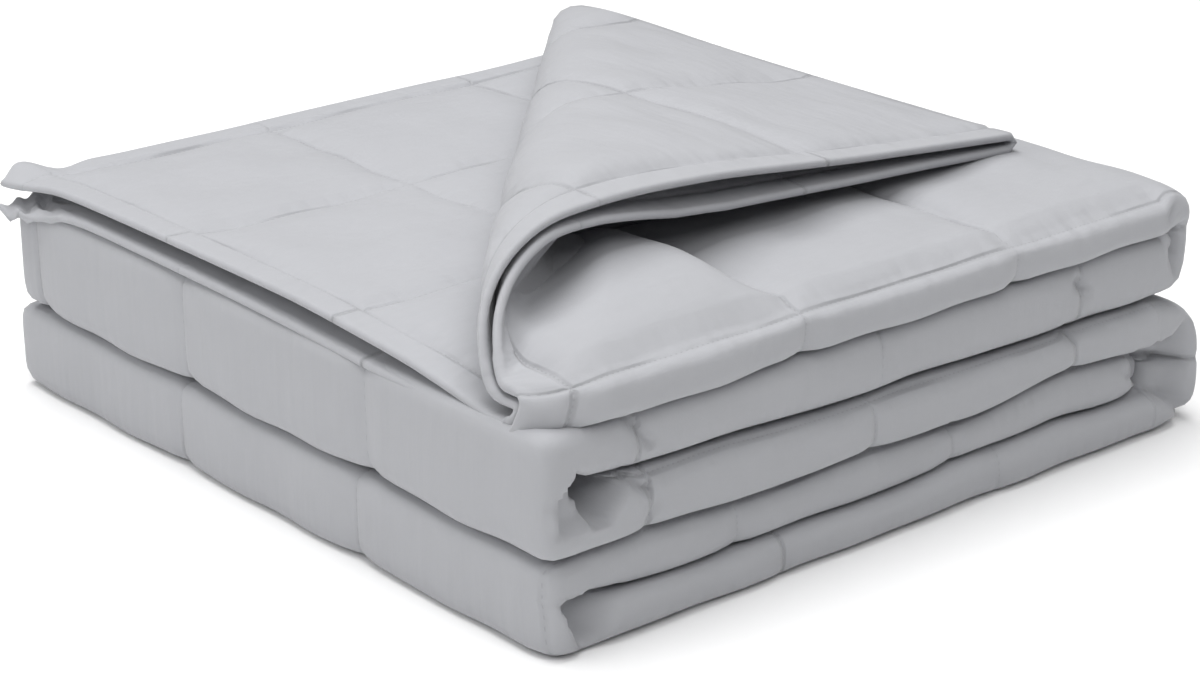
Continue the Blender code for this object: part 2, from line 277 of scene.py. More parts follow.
PROFILE_ZONES = (Zone("peeled outer", 0.020, 0.150, 0.0040),)
END_STATIONS = (0.0, 0.0002, 0.0006, 0.0011, 0.0018, 0.0032, 0.0060, 0.0095, 0.0125)
SIDE_STATIONS = (0.0, 0.0005, 0.0018, 0.0125)
SEAM_STATIONS = (-0.0028, 0.0, 0.0028)
NEAREST = 0.0007  # an even station keeps this far from the fixed ones
SAME = NEAREST / 6  # two stations closer than this are one
TRACK_SAMPLES = 160

# Which points the mesh keeps where the cloth is hidden, and how far the shown places reach.
HIDDEN_STEP = 0.016
FOLD_STEP = 0.0045
DEEP = 0.075  # behind this Y the steps are longer
DEEP_STEP = 0.075
KEPT_HEM = HEM * 0.95
END_SHOWN = 0.022
END_TURNED = 0.020  # how much of the free end's inner face shows
FOLD_SHOWN = 0.012
UNDER_ROLL = -0.010  # from the crease, where the plies under the peeled corner begin to show
ROLL_SHOWN = 0.09  # from the crease and in Y, how far the peeled corner's cloth curves
ROLL_SHOWN_Y = 0.22

Piece = namedtuple("Piece", "name length place start heading")


def smooth(value):
    value = np.clip(value, 0.0, 1.0)
    return value * value * (3 - 2 * value)


def hump(value, centre, width):
    """1 at the centre, falling to 0 like a bell over the width."""
    return np.exp(-(((value - centre) / width) ** 2))


def column(rows, name):
    return np.array([getattr(row, name) for row in rows])


def eased(value, places, amounts, window=0.012):
    """A line through the table's amounts, with its corners rounded over the window."""
    step = 0.001
    grid = np.arange(places[0] - 2 * window, places[-1] + 2 * window, step)
    weights = np.hanning(int(2 * window / step) + 1)
    line = np.convolve(np.interp(grid, places, amounts), weights / weights.sum(), mode="same")
    line = np.where((grid < places[0]) | (grid > places[-1]), np.interp(grid, places, amounts), line)
    return np.interp(value, grid, line)


# ---------------------------------------------------------------- the fold


def turn_direction(share, squareness):
    angle = math.pi * share
    out, sideways = math.sin(angle), math.cos(angle)
    size = (abs(out) ** squareness + abs(sideways) ** squareness) ** (-1 / squareness)
    return out * size, sideways * size


def path_pieces():
    """The strip's runs and bends, as x, z and their normal, from the peeled end on."""
    pieces = []
    for index, section in enumerate(SECTIONS):
        heading = math.copysign(1.0, section.end - section.start)
        height = (section.level - 0.5) * SECTION_PITCH

        def run(share, section=section, heading=heading, height=height):
            return section.start + (section.end - section.start) * share, height, 0.0, heading

        pieces.append(Piece(section.name, abs(section.end - section.start), run, section.start, heading))
        if index + 1 == len(SECTIONS):
            break
        drop = (section.level - SECTIONS[index + 1].level) * SECTION_PITCH / 2
        centre = (section.end, height - drop)

        def bend(share, centre=centre, drop=drop, heading=heading, section=section):
            upper = (share < 0.5) == (drop > 0)
            squareness = section.upper_squareness if upper else section.lower_squareness
            out, sideways = turn_direction(share, squareness)
            x = centre[0] + heading * abs(drop) * out
            return x, centre[1] + drop * sideways, math.copysign(out, drop), heading * sideways

        pieces.append(Piece(section.name + " bend", math.pi * abs(drop), bend, None, heading))
    return pieces


def profile_pieces():
    """The plies and folds across the strip, as depth, y and their normal, as the cloth runs."""
    pieces = []
    for index, ply in enumerate(PLIES):
        start, end = (FRONT_FOLD, BACK_FOLD) if ply.heading > 0 else (BACK_FOLD, FRONT_FOLD)
        if index + 1 == len(PLIES):
            end = LOWEST_PLY_BACK
        depth = ply.depth * PLY_PITCH

        def run(share, start=start, end=end, depth=depth, heading=ply.heading):
            return depth, start + (end - start) * share, heading, 0.0

        pieces.append(Piece(ply.name, abs(end - start), run, start, ply.heading))
        if index + 1 == len(PLIES):
            break
        rise = (PLIES[index + 1].depth - ply.depth) * PLY_PITCH / 2

        def fold(share, end=end, depth=depth, rise=rise, heading=ply.heading):
            out, sideways = turn_direction(share, FOLD_SQUARENESS)
            y = end + heading * abs(rise) * out
            return depth + rise * (1 - sideways), y, heading * sideways, -math.copysign(out, rise)

        pieces.append(Piece(ply.name + " fold", math.pi * abs(rise), fold, None, ply.heading))
    return pieces


class Track:
    """Runs and turns end to end, tabulated, so that many places on them are worked out at once.

    The pieces alternate: a run, the turn after it, the next run. along holds the stations' places on
    the cloth, and every other array has one value for each station.
    """

    def __init__(self, pieces, cut, seams, edges, steps, zones):
        self.names = [piece.name for piece in pieces]
        self.pieces = pieces
        self.ends = np.cumsum([0.0] + [piece.length for piece in pieces])
        self.cut = cut
        self.scale = self.ends[-1] / cut
        rows = []
        for piece, begun in zip(pieces, self.ends):
            for share in np.linspace(0, 1, TRACK_SAMPLES):
                rows.append((begun + share * piece.length, *piece.place(share)))
        table = np.array(rows).T
        self.seams = np.array([HEM, *(self.length_at(*seam) / self.scale for seam in seams), cut - HEM])
        self.along = self.stations(steps, zones, edges)
        length = self.along * self.scale
        self.first, self.second, self.normal_first, self.normal_second = (
            np.interp(length, table[0], values) for values in table[1:]
        )
        self.piece = np.clip(np.searchsorted(self.ends, length, side="right") - 1, 0, len(pieces) - 1)
        self.on_turn = self.piece % 2 == 1
        self.share = (length - self.ends[self.piece]) / np.diff(self.ends)[self.piece]
        square = np.clip(np.searchsorted(self.seams, self.along, side="right") - 1, 0, len(self.seams) - 2)
        self.in_square = np.clip((self.along - self.seams[square]) / np.diff(self.seams)[square], 0, 1)
        self.from_seam = np.abs(self.along[:, None] - self.seams[None, :]).min(1)
        self.from_edge = np.minimum(self.along, cut - self.along)

    def length_at(self, name, place):
        """How far along the track a place on a run, or a share of a turn, is."""
        index = self.names.index(name)
        piece = self.pieces[index]
        within = place * piece.length if piece.start is None else (place - piece.start) * piece.heading
        return self.ends[index] + within

    def spans(self, name, start, end, step, zones):
        """A run or turn's zones and what lies between them: each span's start, end and step."""
        fine = []
        for zone in zones:
            if zone.piece == name:
                low, high = sorted(self.length_at(name, place) for place in (zone.start, zone.end))
                fine.append((max(low, start), min(high, end), zone.step))
        spans = []
        reached = start
        for low, high, fine_step in sorted(fine):
            spans += [(reached, low, step), (low, high, fine_step)]
            reached = max(reached, high)
        spans.append((reached, end, step))
        return [span for span in spans if span[1] - span[0] > NEAREST]

    def stations(self, steps, zones, edges):
        fixed = [*edges, *(self.cut - np.array(edges))]
        for seam in self.seams:
            fixed += [seam + offset for offset in SEAM_STATIONS]
        even = []
        for name, start, end in zip(self.names, self.ends, self.ends[1:]):
            for low, high, step in self.spans(name, start, end, steps[name], zones):
                even += list(np.linspace(low, high, math.ceil((high - low) / step) + 1) / self.scale)
        kept = np.array(sorted(value for value in fixed if -1e-9 <= value <= self.cut + 1e-9))
        free = [value for value in even if np.abs(kept - value).min() > NEAREST]
        merged = np.unique(np.round(np.concatenate([kept, free]), 7))
        return merged[np.concatenate([[True], np.diff(merged) > SAME])]

    def on(self, *names):
        return np.isin(self.piece, [self.names.index(name) for name in names])

    def blend(self, values):
        """One value for each run, blended over the turns between them."""
        run = self.piece // 2
        following = np.minimum(run + 1, len(values) - 1)
        share = np.where(self.on_turn, smooth(self.share), 0.0)
        return values[run] + (values[following] - values[run]) * share

    def turning(self):
        """0 on the runs and where a turn leaves them, 1 in a turn's middle third."""
        share = np.minimum(self.share, 1 - self.share) * 3
        return np.where(self.on_turn, smooth(share), 0.0)


def crease_distance(x, y):
    return (y - PEEL_START) * math.cos(PEEL_ANGLE) - x * math.sin(PEEL_ANGLE)


def roll_section():
    """The roll's section, tabulated by the cloth's length: across the crease, height and heading."""
    reached = np.linspace(0, ROLL_LENGTH, ROLL_SAMPLES)
    heading = np.radians(np.interp(reached, column(ROLL, "reached"), column(ROLL, "degrees")))
    step = reached[1]
    across, height = (
        np.concatenate([[0.0], np.cumsum((part[1:] + part[:-1]) / 2 * step)])
        for part in (np.cos(heading), np.sin(heading))
    )
    return reached, across, height, heading


def peeled(x, y, lift):
    """Where points of the two peeled plies go: lift is their height over the plies' common middle."""
    beyond = crease_distance(x, y)
    along = x * math.cos(PEEL_ANGLE) + (y - PEEL_START) * math.sin(PEEL_ANGLE)
    size = 1 - ROLL_TAPER * along
    reached, *section = roll_section()
    across, height, heading = (np.interp(np.maximum(beyond, 0) / size, reached, values) for values in section)
    across = across * size - lift * np.sin(heading)
    height = height * size + lift * np.cos(heading)
    new_x = along * math.cos(PEEL_ANGLE) - across * math.sin(PEEL_ANGLE)
    new_y = PEEL_START + along * math.sin(PEEL_ANGLE) + across * math.cos(PEEL_ANGLE)
    flat = beyond <= 0
    return np.where(flat, x, new_x), np.where(flat, y, new_y), np.where(flat, lift, height)


# ---------------------------------------------------------------- the cloth's own relief

SEAM_DEPTH = 0.0025
SEAM_WIDTH = 0.0046
SEAM_POWER = 1.5
PUFF = 0.0022  # how far a square's middle swells, falling towards its seams by this power
PUFF_POWER = 3
HEM_HALF = 0.0019
HEM_GROOVE = 0.35
HEM_STEP = 0.0016
HEM_FADE = 0.045  # in front of this Y the outer ply's hem shows less
HEM_FADED = 0.15
PRESSED = 0.008
SWELL_RUN = 0.040
FLAP_SWELL = 0.85
BEND_SWELL = 0.5
DRIFT = 0.0006  # the filling's drift inside the squares, and how long its waves are
DRIFT_LENGTHS = ((0.083, 0.071), (0.052, 0.119), (0.137, 0.047))


def exposure(path, profile, x_flat, y_flat):
    """How far each point of the outer face is free to swell: 1 where it shows, 0 where it is pressed."""
    top = path.on("top")[:, None]
    upper = path.on("top", "top bend", "third bend", "bottom bend")[:, None]
    bending = path.turning()
    bending[path.on("top") | (path.on("top bend") & (path.share < 0.5))] = 1.0
    bending = bending[:, None]
    most = np.where(top, 1.0, BEND_SWELL)
    outside = np.where(upper, profile.on("peeled outer"), profile.on("lowest flat"))
    free = np.where(outside, most * bending, 0.0)
    lifted = smooth((crease_distance(x_flat, y_flat) - PRESSED) / SWELL_RUN)
    free = np.where(top & profile.on("peeled under", "lower flat"), FLAP_SWELL * lifted, free)
    beside = (profile.share < 0.5)[None, :] == upper
    on_fold = np.maximum(profile.turning()[None, :], np.where(beside, bending, 0.0))
    free = np.where(profile.on("peeled outer fold"), most * on_fold, free)
    return np.where(profile.on("peeled under fold"), profile.turning(), free)


def puffed(track):
    """1 in the middle of each square, 0 on its seams."""
    return 1 - np.abs(2 * track.in_square - 1) ** PUFF_POWER


def near_seam(track):
    return np.exp(-((track.from_seam / SEAM_WIDTH) ** SEAM_POWER))


def half_thickness(path, profile, free):
    """Half the sheet's thickness towards its outer face, and towards its inner face."""
    puff = PUFF * puffed(path)[:, None] * puffed(profile)[None, :]
    seam = SEAM_DEPTH * np.maximum(near_seam(path)[:, None], near_seam(profile)[None, :])
    drift = DRIFT * sum(
        np.sin(2 * math.pi * path.along / run + number)[:, None]
        * np.sin(2 * math.pi * profile.along / width + 2 * number)[None, :]
        for number, (run, width) in enumerate(DRIFT_LENGTHS)
    )
    inner = PLY_THICKNESS / 2
    outer = inner + (puff + drift - seam) * free
    edge = np.minimum(path.from_edge[:, None], profile.from_edge[None, :])
    rim = np.sqrt(np.clip(1 - (1 - np.minimum(edge / HEM_HALF, 1)) ** 2, 0, 1))
    at_fold = profile.on("peeled outer fold") | (profile.on("peeled outer") & (profile.second < HEM_FADE))
    showing = np.where(at_fold, HEM_FADED, 1.0)[None, :]
    in_hem = smooth((HEM - edge) / HEM_STEP) * showing
    stitched = 1 - HEM_GROOVE * hump(edge, HEM, HEM_STEP) * showing
    return tuple((half + (HEM_HALF - half) * in_hem) * rim * stitched for half in (outer, inner))


# ---------------------------------------------------------------- the sheet folded up


def inside(x, z, corners):
    """1 inside a convex outline, falling to 0 over each edge's softness."""
    share = np.ones_like(x)
    for corner, following in zip(corners, (*corners[1:], corners[0])):
        run, rise = following.x - corner.x, following.z - corner.z
        length = math.hypot(run, rise)
        within = (run * (z - corner.z) - rise * (x - corner.x)) / length
        share = share * smooth(within / corner.soft)
    return share


def front_depth(x, z):
    """How far the front lies back at each place."""
    depth = np.zeros_like(x)
    for recess in RECESSES:
        depth = np.maximum(depth, recess.depth * inside(x, z, recess.corners))
    for crease in CREASES:
        run, rise = crease.to_x - crease.x, crease.to_z - crease.z
        length = math.hypot(run, rise)
        along = ((x - crease.x) * run + (z - crease.z) * rise) / length
        across = ((z - crease.z) * run - (x - crease.x) * rise) / length
        taper = CREASE_TAPER * length
        begun = smooth(along / taper) * smooth((length - along) / taper)
        depth = depth + crease.depth * begun * hump(across, 0.0, crease.width)
    return depth


def level_shift(x, z):
    """The boundaries between the sections lie uneven: how much each place is raised for it."""
    shift = np.zeros_like(x)
    for index, name in enumerate(("first", "second", "third", "fourth", "fifth"), 1):
        share = np.clip(1 - np.abs(z / SECTION_PITCH - index), 0, 1)
        shift = shift + share * eased(x, column(LEVELS, "x"), column(LEVELS, name))
    return shift


def corner_pulls(path, profile):
    """How far the free end's corners at the back are pulled and crumpled, as x, y and z."""
    along, across = path.along[:, None], profile.along[None, :]
    from_hem = {"upper": across, "lower": CUT_WIDTH - across}
    x = y = z = 0.0
    for pull in PULLS:
        share = hump(along, pull.along, pull.along_reach)
        share = share * hump(from_hem[pull.corner], 0.0, pull.across_reach)
        x, y, z = x + pull.x * share, y + pull.y * share, z + pull.z * share
    rippled = hump(along, 0.0, RIPPLE_REACH) * smooth((RIPPLE_WIDTH - from_hem["lower"]) / RIPPLE_FOOT)
    turns = along * RIPPLE_TURNS[0] + from_hem["lower"] * RIPPLE_TURNS[1]
    return x, y, z + RIPPLE_RISE * rippled * np.sin(turns)


def sagging(path, profile):
    """How far the outer of the peeled plies hangs under the other."""
    depth = np.interp(profile.second - PEEL_START, column(SAGS, "along_hem"), column(SAGS, "depth"))
    depth = np.where(profile.on("peeled outer"), depth, 0.0)[None, :]
    return depth * (1 - smooth(path.first[:, None] / SAG_DEPTH))


def mound(x, y, profile):
    """How high the square in front of the roll stands up."""
    rise = MOUND_RISE * hump(x, MOUND_X, MOUND_X_RUN) * hump(y, MOUND_Y, MOUND_Y_RUN)
    rise = rise * smooth(-crease_distance(x, y) / MOUND_FOOT) * smooth(y / MOUND_FOOT)
    rise = rise * smooth((MOUND_SEAM - x) / MOUND_SEAM_RUN)
    return np.where(profile.on("peeled outer")[None, :], rise, 0.0)


def free_end_lie(path, profile):
    """How far the top section's free end rises or hangs against its even height."""
    flat, others, lowest = (
        eased(profile.second, column(LIES, "y"), column(LIES, name)) for name in ("flat", "others", "lowest")
    )
    on_flat = profile.on("lower flat")
    lie = np.where(on_flat, flat, np.where(profile.on("lowest flat"), lowest, others))[None, :]
    run = np.where(on_flat, FLAT_LIE_RUN, LIE_RUN)[None, :]
    return lie * smooth(1 - (path.first[:, None] - FREE_END) / run)


def rounded_corner(x, y, z):
    """How far back the top section's front left corner lies."""
    back = CORNER_BACK * np.clip(1 - x / CORNER_RUN, 0, CORNER_LIMIT) ** CORNER_POWER
    return back * (1 - smooth(y / CORNER_DEPTH)) * (1 - smooth((z - CORNER_TOP) / CORNER_RISE))


def stacked(path, profile, thickness):
    """The sheet's fold before the corner is peeled, with the thickness signed against the normal."""
    depth = profile.first[None, :] + thickness * profile.normal_first[None, :]
    x = path.first[:, None] + depth * path.normal_first[:, None]
    y = profile.second[None, :] + thickness * profile.normal_second[None, :]
    z = path.second[:, None] + depth * path.normal_second[:, None]
    past = x - LOW_RIGHT_BEND
    pressed = LOW_RIGHT_BEND + past * smooth(past / PRESSED_IN)
    x = np.where(path.on("third bend")[:, None] & (past > 0), pressed, x)
    drawn_in = path.blend(column(SECTIONS, "drawn_in"))[:, None]
    y = y + drawn_in * (1 - smooth((profile.second[None, :] - FRONT_FOLD) / DRAWN_DEPTH))
    end_out = profile.blend(column(PLIES, "end_out"))[None, :]
    end_out = end_out * (1 - smooth((path.first[:, None] - FREE_END) / END_DEPTH))
    return x - np.where(path.on("top")[:, None], end_out, 0.0), y, z


def folded(path, profile, thickness):
    """The points of one face of the sheet, in the CAD model's axes."""
    x, y, z = stacked(path, profile, thickness)
    top = path.on("top")[:, None]
    lifted = top & profile.on("peeled under", "peeled under fold", "peeled outer")[None, :]
    middle = path.second[:, None] + PLY_PITCH
    lift = z - middle + sagging(path, profile) + mound(x, y, profile)
    peel_x, peel_y, peel_z = peeled(x, y, lift)
    x, y, z = np.where(lifted, peel_x, x), np.where(lifted, peel_y, y), np.where(lifted, peel_z + middle, z)
    z = z + np.where(top, free_end_lie(path, profile), 0.0)
    y = y + np.where(top, rounded_corner(x, y, z), 0.0)
    brow = BROW_DROP * smooth(1 - y / BROW_RUN) * smooth((z - BROW_FOOT) / BROW_RISE)
    z = z - np.where(top & ~lifted, brow, 0.0)
    pull_x, pull_y, pull_z = corner_pulls(path, profile)
    x, y, z = x + pull_x, y + pull_y, z + pull_z
    z = z + level_shift(x, z)
    y = y + front_depth(x, z) * (1 - smooth((y - FRONT_FOLD) / RECESS_FADE))
    points = (np.stack([x, y, z], axis=-1) - np.array(FOLDED_ORIGIN)) * (1, 1, SETTLED)
    points[..., 2] = np.maximum(points[..., 2], 0.0)
    return points


# ---------------------------------------------------------------- the mesh


def sparse_columns(profile):
    """The columns that a hidden face keeps: close by the front, far apart behind it."""
    keep = np.zeros(len(profile.along), bool)
    last = -math.inf
    for j, along in enumerate(profile.along):
        hidden_step = HIDDEN_STEP if profile.second[j] < DEEP else DEEP_STEP
        if along - last >= (FOLD_STEP if profile.on_turn[j] else hidden_step):
            keep[j] = True
            last = along
    keep |= profile.from_edge < KEPT_HEM
    keep[[0, -1]] = True
    keep[np.flatnonzero(np.diff(profile.piece)) + 1] = True
    return keep


def shown_points(path, profile, x_flat, y_flat):
    """Which points of the outer face are kept: all where it shows, few where it is hidden."""
    beyond = crease_distance(x_flat, y_flat)
    top = path.on("top")[:, None]
    outer_ply = profile.on("peeled outer")[None, :]
    lowest = profile.on("lowest flat")[None, :]
    near_end = (path.along < END_SHOWN)[:, None]
    by_roll = (beyond < ROLL_SHOWN) & (y_flat < ROLL_SHOWN_Y)
    by_fold = (y_flat < FRONT_FOLD + FOLD_SHOWN) | (y_flat > BACK_FOLD - FOLD_SHOWN)
    every_other = (np.arange(len(profile.along)) % 2 == 0)[None, :]
    keep = np.broadcast_to(sparse_columns(profile)[None, :], beyond.shape).copy()
    keep |= profile.on("peeled outer fold")[None, :]
    keep |= top & profile.on("lower flat fold")[None, :]
    keep |= top & profile.on("peeled under", "lower flat")[None, :] & (beyond > UNDER_ROLL)
    keep |= top & outer_ply & (by_roll | near_end | every_other)
    keep |= top & lowest & near_end
    keep |= by_fold & (outer_ply | lowest)
    keep |= path.on("top bend", "third bend", "bottom bend")[:, None] & outer_ply
    keep |= path.on("fourth bend")[:, None] & lowest
    keep |= path.on_turn[:, None] & profile.on_turn[None, :]
    return keep


def triangles_between(near, far, near_ids, far_ids, flip):
    """Joins two rows of points, each with its own columns, by a strip of faces."""
    faces = []
    a = b = 0
    while a < len(near) - 1 or b < len(far) - 1:
        next_a = near[a + 1] if a < len(near) - 1 else math.inf
        next_b = far[b + 1] if b < len(far) - 1 else math.inf
        if next_a == next_b and near[a] == far[b]:
            face = (near_ids[a], far_ids[b], far_ids[b + 1], near_ids[a + 1])
            a, b = a + 1, b + 1
        elif next_a <= next_b:
            face = (near_ids[a], far_ids[b], near_ids[a + 1])
            a += 1
        else:
            face = (near_ids[a], far_ids[b], far_ids[b + 1])
            b += 1
        faces.append(face[::-1] if flip else face)
    return faces


def add_attribute(mesh, name, values):
    attribute = mesh.attributes.new(name, "FLOAT_VECTOR", "POINT")
    attribute.data.foreach_set("vector", np.array(values, np.float32).ravel())


def sheet_mesh(name, path, profile, free, sides):
    """One closed mesh of the sheet's two faces, which share their points along its four edges."""
    points, cloth, seams, faces = [], [], [], []
    ids = np.full(free.shape, -1)
    for side_points, keep, flip in sides:
        ids[1:-1, 1:-1] = -1
        new = keep & (ids < 0)
        ids[new] = len(points) + np.arange(new.sum())
        rows, columns = np.nonzero(new)
        points += list(side_points[new])
        cloth += list(zip(path.along[rows], profile.along[columns], np.zeros(len(rows))))
        seams += list(zip(path.from_seam[rows], profile.from_seam[columns], free[new]))
        kept = [np.flatnonzero(row) for row in keep]
        for i, (near, far) in enumerate(zip(kept, kept[1:])):
            faces += triangles_between(near, far, ids[i, near], ids[i + 1, far], flip)
    mesh = bpy.data.meshes.new(name)
    mesh.from_pydata([tuple(map(float, p)) for p in points], [], [tuple(map(int, f)) for f in faces])
    add_attribute(mesh, "cloth", cloth)
    add_attribute(mesh, "seams", seams)
    mesh.validate()
    mesh.shade_smooth()
    return mesh


def make_blanket():
    path = Track(path_pieces(), CUT_LENGTH, SEAMS_ALONG, END_STATIONS, PATH_STEPS, PATH_ZONES)
    profile = Track(profile_pieces(), CUT_WIDTH, SEAMS_ACROSS, SIDE_STATIONS, PROFILE_STEPS, PROFILE_ZONES)
    shape = (len(path.along), len(profile.along))
    x_flat = np.broadcast_to(path.first[:, None], shape)
    y_flat = np.broadcast_to(profile.second[None, :], shape)
    free = exposure(path, profile, x_flat, y_flat)
    outer_half, inner_half = half_thickness(path, profile, free)
    outer_keep = shown_points(path, profile, x_flat, y_flat)
    inner_keep = np.broadcast_to(sparse_columns(profile)[None, :], shape).copy()
    inner_keep |= (path.on("top") & (path.along < END_TURNED))[:, None] & outer_keep
    for end, beside in ((0, 1), (-1, -2)):
        outer_keep[end] = inner_keep[end] = outer_keep[end] | outer_keep[beside]
    sides = (
        (folded(path, profile, -outer_half), outer_keep, True),
        (folded(path, profile, inner_half), inner_keep, False),
    )
    mesh = sheet_mesh("quilted_blanket", path, profile, free, sides)
    blanket = bpy.data.objects.new("quilted_blanket", mesh)
    bpy.context.scene.collection.objects.link(blanket)
    return blanket


# ---------------------------------------------------------------- materials, light and camera

CLOTH_COLOUR = (0.415, 0.420, 0.439, 1.0)
CLOTH_SHADE = (0.388, 0.392, 0.413, 1.0)
# Painted shade: the colour that the seam grooves and the gaps between stitches are darkened towards.
PAINTED_SEAM_SHADE = (0.26, 0.263, 0.276, 1.0)
CLOTH_FINISH = {
    "Roughness": 0.88, "Specular IOR Level": 0.25, "Sheen Weight": 0.18, "Sheen Roughness": 0.45,
}
# Uneven forms that are finer than the mesh: their size, how far they rise and how much they shade.
Grain = namedtuple("Grain", "size detail roughness rise tint", defaults=(0.0, 0.0))
FIBRE = Grain(0.0009, 2.0, 0.7, 0.00006, 0.35)
BRUSHED = Grain(0.0030, 2.0, 0.6, 0.00010, 0.35)
BRUSHED_STRETCH = 0.35
MOTTLE = Grain(0.045, 3.0, 0.6, 0.0018, 0.45)
WRINKLE = Grain(0.0130, 2.0, 0.5, 0.0011)
WRINKLE_STRETCH = 0.22
WRINKLE_SLICE = 5.0  # wrinkles and puckers lie in their own slices of the noise
PUCKER = Grain(0.0085, 1.0, 0.4, 0.0018)
PUCKER_STRETCH = 0.30
PUCKER_SLICE = 3.0
PUCKER_START = 0.0004
PUCKER_REACH = 0.0130
# How deep the thread draws the cloth in and how far beside it, more in some lengths than in others, and how
# strongly painted shade darkens the groove.
GROOVE = 0.0009
GROOVE_REACH = 0.0018
GROOVE_PAINTED_SHADE = 0.27
UNEVEN_DRAW = Grain(0.050, 2.0, 0.5)
UNEVEN_GAIN = 4.5
UNEVEN_OFFSET = -1.75
UNEVEN_LEAST = 0.10
# The gaps between the stitches: how far they dip, and how strongly painted shade darkens them.
STITCH = 0.0026
STITCH_WIDTH = 0.00024
STITCH_DIP = 0.00010
STITCH_GAP_PAINTED_SHADE = 0.25
GAP_SHARES = (0.10, 0.26)  # of a stitch: where a gap begins to end, and where it has ended
LINE_SHARES = (0.6, 1.6)  # of the stitch's width, in the same way


class Shader:
    """Puts a material's nodes together: each call gives the node's output."""

    def __init__(self, material):
        material.use_nodes = True
        self.nodes = material.node_tree.nodes
        self.links = material.node_tree.links
        self.surface = self.nodes["Principled BSDF"]

    def put(self, socket, value):
        if isinstance(value, bpy.types.NodeSocket):
            self.links.new(value, socket)
        else:
            socket.default_value = value

    def attribute(self, name):
        node = self.nodes.new("ShaderNodeAttribute")
        node.attribute_name = name
        return node.outputs["Vector"]

    def math(self, operation, first, second=0.0, third=0.0):
        node = self.nodes.new("ShaderNodeMath")
        node.operation = operation
        for socket, value in zip(node.inputs, (first, second, third)):
            self.put(socket, value)
        return node.outputs[0]

    def split(self, vector):
        node = self.nodes.new("ShaderNodeSeparateXYZ")
        self.put(node.inputs[0], vector)
        return node.outputs

    def join(self, x, y, z=0.0):
        node = self.nodes.new("ShaderNodeCombineXYZ")
        for socket, value in zip(node.inputs, (x, y, z)):
            self.put(socket, value)
        return node.outputs[0]

    def fall(self, value, start, end):
        """1 up to the start, smoothly down to 0 at the end."""
        node = self.nodes.new("ShaderNodeMapRange")
        node.interpolation_type = "SMOOTHSTEP"
        names = ("Value", "From Min", "From Max", "To Min", "To Max")
        for name, amount in zip(names, (value, start, end, 1.0, 0.0)):
            self.put(node.inputs[name], amount)
        return node.outputs["Result"]

    def noise(self, vector, grain):
        node = self.nodes.new("ShaderNodeTexNoise")
        self.put(node.inputs["Vector"], vector)
        amounts = (1 / grain.size, grain.detail, grain.roughness)
        for name, amount in zip(("Scale", "Detail", "Roughness"), amounts):
            self.put(node.inputs[name], amount)
        return node.outputs["Fac"]

    def mix(self, share, first, second):
        node = self.nodes.new("ShaderNodeMix")
        node.data_type = "RGBA"
        self.put(node.inputs[0], share)
        self.put(node.inputs[6], first)  # the node has such a pair of sockets for each data type
        self.put(node.inputs[7], second)
        return node.outputs[2]

    def bump(self, height):
        node = self.nodes.new("ShaderNodeBump")
        for name, amount in (("Strength", 1.0), ("Distance", 1.0), ("Height", height)):
            self.put(node.inputs[name], amount)
        return node.outputs[0]


def seam_puckers(shader, place, seams):
    """Short wrinkles that run across each seam and die away beside it, about -0.5 to 0.5."""
    total = 0.0
    for across, along, beside in ((0, 1, seams[0]), (1, 0, seams[1])):
        stretched = shader.math("MULTIPLY", place[across], PUCKER_STRETCH)
        stretched = shader.join(stretched, place[along], PUCKER_SLICE * across)
        wrinkle = shader.math("SUBTRACT", shader.noise(stretched, PUCKER), 0.5)
        near = shader.fall(beside, PUCKER_START, PUCKER_REACH)
        total = shader.math("ADD", total, shader.math("MULTIPLY", wrinkle, near))
    return total


def stitch_gaps_dipped_and_shaded(shader, place, seams):
    """1 on the short gaps between the stitches of each seam, where they dip and get painted shade."""
    total = 0.0
    for beside, along in ((seams[0], place[1]), (seams[1], place[0])):
        beat = shader.math("PINGPONG", along, STITCH / 2)
        gap = shader.fall(beat, *(STITCH * share for share in GAP_SHARES))
        line = shader.fall(beside, *(STITCH_WIDTH * share for share in LINE_SHARES))
        total = shader.math("MAXIMUM", total, shader.math("MULTIPLY", gap, line))
    return total


def seam_groove_and_painted_shade(shader, cloth, seams):
    """How far the thread draws the cloth in, which also sets how much painted shade the seam gets: up to 1 on
    a seam, 0 away from it.
    """
    on_either = (shader.fall(seams[0], 0.0, GROOVE_REACH), shader.fall(seams[1], 0.0, GROOVE_REACH))
    uneven = shader.math("MULTIPLY_ADD", shader.noise(cloth, UNEVEN_DRAW), UNEVEN_GAIN, UNEVEN_OFFSET)
    uneven = shader.math("MINIMUM", shader.math("MAXIMUM", uneven, UNEVEN_LEAST), 1.0)
    return shader.math("MULTIPLY", shader.math("MAXIMUM", *on_either), uneven)


